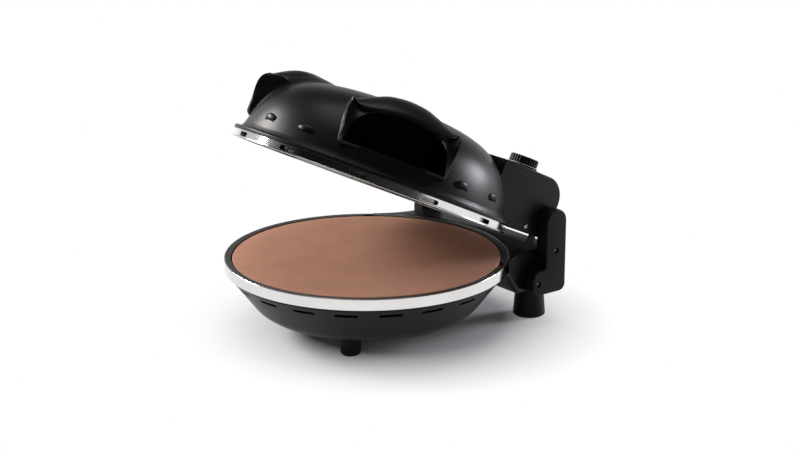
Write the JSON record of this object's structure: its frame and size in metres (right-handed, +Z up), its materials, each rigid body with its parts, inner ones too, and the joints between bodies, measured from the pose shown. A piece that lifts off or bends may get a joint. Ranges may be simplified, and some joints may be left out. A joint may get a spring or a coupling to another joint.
{
  "type": "electric pizza oven",
  "caption": "Countertop electric pizza maker: round stone in a bowl-shaped base with a hinged domed lid that has arched hoods, steel bands and a temperature knob.",
  "frame": {"origin": "centre of the overall footprint on the surface the feet stand on, with the lid part open", "axes": "+Z up; +Y to the back, where the hinge is; +X to the right seen from the front"},
  "size_m": [0.356, 0.3918, 0.3191],
  "materials": {
    "body_plastic": "satin moulded",
    "arm_plastic": "satin moulded",
    "recess_plastic": "smooth",
    "polished_steel": "polished",
    "rim_enamel": "satin enamel",
    "reflector_steel": "bright rolled",
    "element_sheath": "dull oxidised",
    "clip_steel": "plain",
    "screw_steel": "zinc plated",
    "pin_steel": "ground",
    "bush_nylon": "plain",
    "stone_clay": "matt fired clay",
    "ceramic": "matt ceramic",
    "pad_rubber": "matt",
    "knob_plastic": "satin",
    "dial_plastic": "satin",
    "thermostat_metal": "plain"
  },
  "bodies": {
    "base": {"base_shell": "body_plastic", "bottom_cover": "body_plastic", "base_trim_band": "polished_steel", "stone_rim": "rim_enamel", "base_reflector": "reflector_steel", "reflector_screws_base": "screw_steel", "lower_heating_element": "element_sheath", "lower_element_clips": "clip_steel", "terminal_block": "ceramic", "cord_gland": "knob_plastic", "rear_deck": "body_plastic", "front_feet": "arm_plastic", "rear_feet": "arm_plastic", "foot_pads": "pad_rubber", "hinge_arm_left": "arm_plastic", "hinge_arm_right": "arm_plastic", "arm_screws": "screw_steel", "hinge_pins": "pin_steel"},
    "stone": {"pizza_stone": "stone_clay"},
    "lid": {"lid_shell": "body_plastic", "lid_trim_band": "polished_steel", "arch_panel_left": "recess_plastic", "arch_panel_right": "recess_plastic", "rear_housing": "body_plastic", "housing_floor": "body_plastic", "housing_screws": "screw_steel", "hinge_bushes": "bush_nylon", "lid_bumpers": "pad_rubber", "lid_reflector": "reflector_steel", "reflector_screws_lid": "screw_steel", "upper_heating_element": "element_sheath", "upper_element_clips": "clip_steel", "thermostat": "thermostat_metal", "thermostat_bracket": "clip_steel", "dial_ring": "dial_plastic"},
    "knob": {"knob": "knob_plastic", "thermostat_shaft": "pin_steel"}
  },
  "joints": [
    {"name": "lid_hinge", "type": "hinge", "parent": "base", "child": "lid", "pos_m": [0, 0.17309, 0.13], "axis": [-1, 0, 0], "range_deg": [-25.5, 79.5]},
    {"name": "stone_lift", "type": "slide", "parent": "base", "child": "stone", "axis": [0, 0, 1], "range_m": [0, 0.01]},
    {"name": "knob_turn", "type": "hinge", "parent": "lid", "child": "knob", "pos_m": [0.07, 0.16823, 0.18716], "axis": [0, 0.4305, 0.9026], "range_deg": [-270, 0]}
  ]
}
